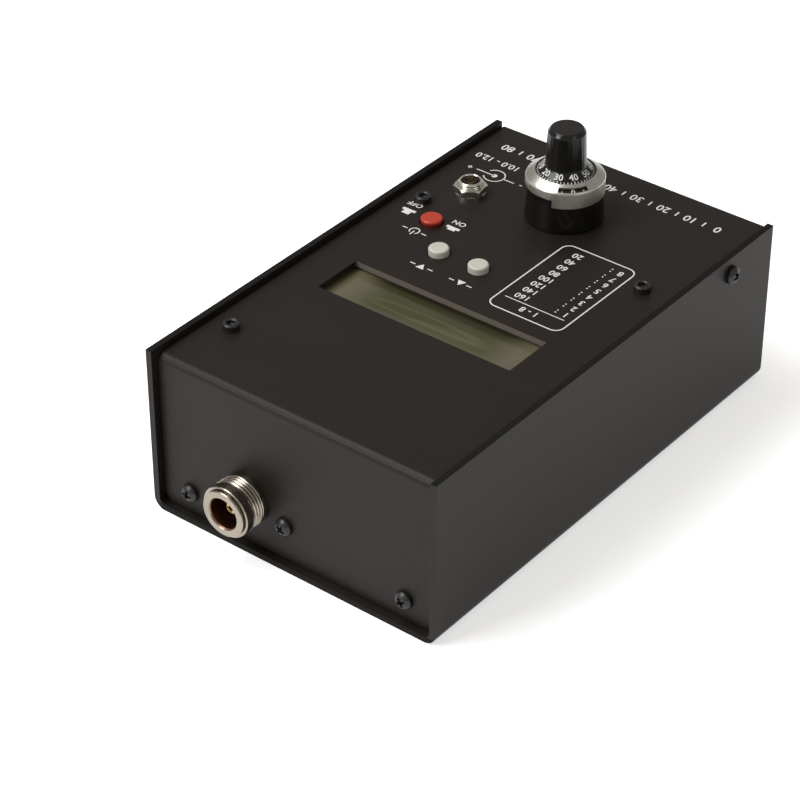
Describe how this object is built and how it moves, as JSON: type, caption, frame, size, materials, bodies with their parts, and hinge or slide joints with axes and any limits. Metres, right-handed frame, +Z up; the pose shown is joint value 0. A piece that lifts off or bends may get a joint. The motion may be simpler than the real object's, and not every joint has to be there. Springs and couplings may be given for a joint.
{
  "type": "antenna analyzer",
  "caption": "Handheld antenna analyzer: folded black sheet case with display window, push buttons, turns-counting tuning dial, power socket and threaded antenna port.",
  "frame": {"origin": "centre of the base shell's footprint, on the face it stands on", "axes": "+X to the reader's right, +Y towards the antenna port, +Z up out of the panel"},
  "size_m": [0.1044, 0.1722, 0.0808],
  "materials": {
    "case_paint": "satin black powder coat on folded sheet",
    "black_steel": "black oxide",
    "zinc_steel": "bright zinc",
    "brass": "turned",
    "board_green": "green solder mask",
    "display_frame": "black lacquered steel",
    "display_glass": "reflective display, olive",
    "black_plastic": "moulded",
    "white_plastic": "moulded",
    "red_plastic": "moulded",
    "grey_plastic": "moulded",
    "nickel": "nickel plate",
    "gold_plate": "gold plate",
    "tin_plate": "tinned",
    "blue_plastic": "moulded",
    "ground_steel": "ground",
    "dial_black": "semi-gloss black",
    "satin_ring": "satin",
    "capacitor_sleeve": "printed sleeve",
    "relay_blue": "moulded",
    "red_wire": "insulation",
    "pale_wire": "insulation",
    "black_wire": "jacket"
  },
  "bodies": {
    "case": {"base_shell": "case_paint", "top_shell": "case_paint", "corner_brackets": "zinc_steel", "panel_screws": "black_steel", "end_screws": "black_steel", "side_screws": "black_steel", "panel_standoffs": "brass", "board_screws": "zinc_steel", "main_board": "board_green", "display_board": "board_green", "display_frame": "display_frame", "display_glass": "display_glass", "display_pins": "black_plastic", "display_spacers": "white_plastic", "power_switch": "black_plastic", "up_switch": "black_plastic", "down_switch": "black_plastic", "power_socket": "nickel", "power_socket_nut": "nickel", "power_socket_washer": "nickel", "power_socket_pin": "gold_plate", "power_socket_tags": "tin_plate", "control_case": "blue_plastic", "control_nut": "zinc_steel", "control_washer": "zinc_steel", "control_tags": "tin_plate", "dial_base": "dial_black", "dial_ring": "satin_ring", "port_body": "nickel", "port_insulator": "white_plastic", "port_contact": "gold_plate", "port_washer": "zinc_steel", "port_nut": "nickel", "bridge_bracket": "zinc_steel", "bridge_screws": "black_steel", "bridge_board": "board_green", "controller_socket": "black_plastic", "controller_chip": "black_plastic", "counter_chip": "black_plastic", "clock_crystal": "zinc_steel", "voltage_regulator": "black_plastic", "storage_capacitors": "capacitor_sleeve", "band_relays": "relay_blue", "trimmers": "blue_plastic", "oscillator_shield": "zinc_steel", "socket_leads": "red_wire", "control_leads": "pale_wire", "coax_lead": "black_wire"},
    "power_button": {"power_cap": "red_plastic", "power_plunger": "white_plastic"},
    "up_key": {"up_button": "grey_plastic", "up_stem": "black_plastic"},
    "down_key": {"down_button": "grey_plastic", "down_stem": "black_plastic"},
    "knob": {"dial_knob": "dial_black", "control_shaft": "ground_steel", "dial_grub_screw": "black_steel"},
    "planet": {"planet_wheel": "white_plastic"},
    "counter": {"counting_ring": "dial_black"},
    "brake": {"brake_lever": "dial_black"}
  },
  "joints": [
    {"name": "power_press", "type": "slide", "parent": "case", "child": "power_button", "axis": [0, 0, -1], "range_m": [0, 0.0015], "stiffness_N_per_m": 400, "springref_m": -0.0012},
    {"name": "up_press", "type": "slide", "parent": "case", "child": "up_key", "axis": [0, 0, -1], "range_m": [0, 0.0005], "stiffness_N_per_m": 800, "springref_m": -0.0006},
    {"name": "down_press", "type": "slide", "parent": "case", "child": "down_key", "axis": [0, 0, -1], "range_m": [0, 0.0005], "stiffness_N_per_m": 800, "springref_m": -0.0006},
    {"name": "dial_turn", "type": "hinge", "parent": "case", "child": "knob", "pos_m": [0.0031, -0.05, 0.0516], "axis": [0, 0, 1], "range_deg": [0, 3600]},
    {"name": "planet_spin", "type": "hinge", "parent": "knob", "child": "planet", "pos_m": [0.0066, -0.05606, 0.0516], "axis": [0, 0, 1], "range_deg": [-16200, 0]},
    {"name": "counter_turn", "type": "hinge", "parent": "case", "child": "counter", "pos_m": [0.0031, -0.05, 0.0516], "axis": [0, 0, 1], "range_deg": [0, 360]},
    {"name": "brake_turn", "type": "hinge", "parent": "case", "child": "brake", "pos_m": [0.0031, -0.05, 0.0516], "axis": [0, 0, 1], "range_deg": [0, 24]}
  ],
  "couplings": [
    {"joint": "counter_turn", "follows": "dial_turn", "ratio": 0.1},
    {"joint": "planet_spin", "follows": "dial_turn", "ratio": -4.5}
  ]
}
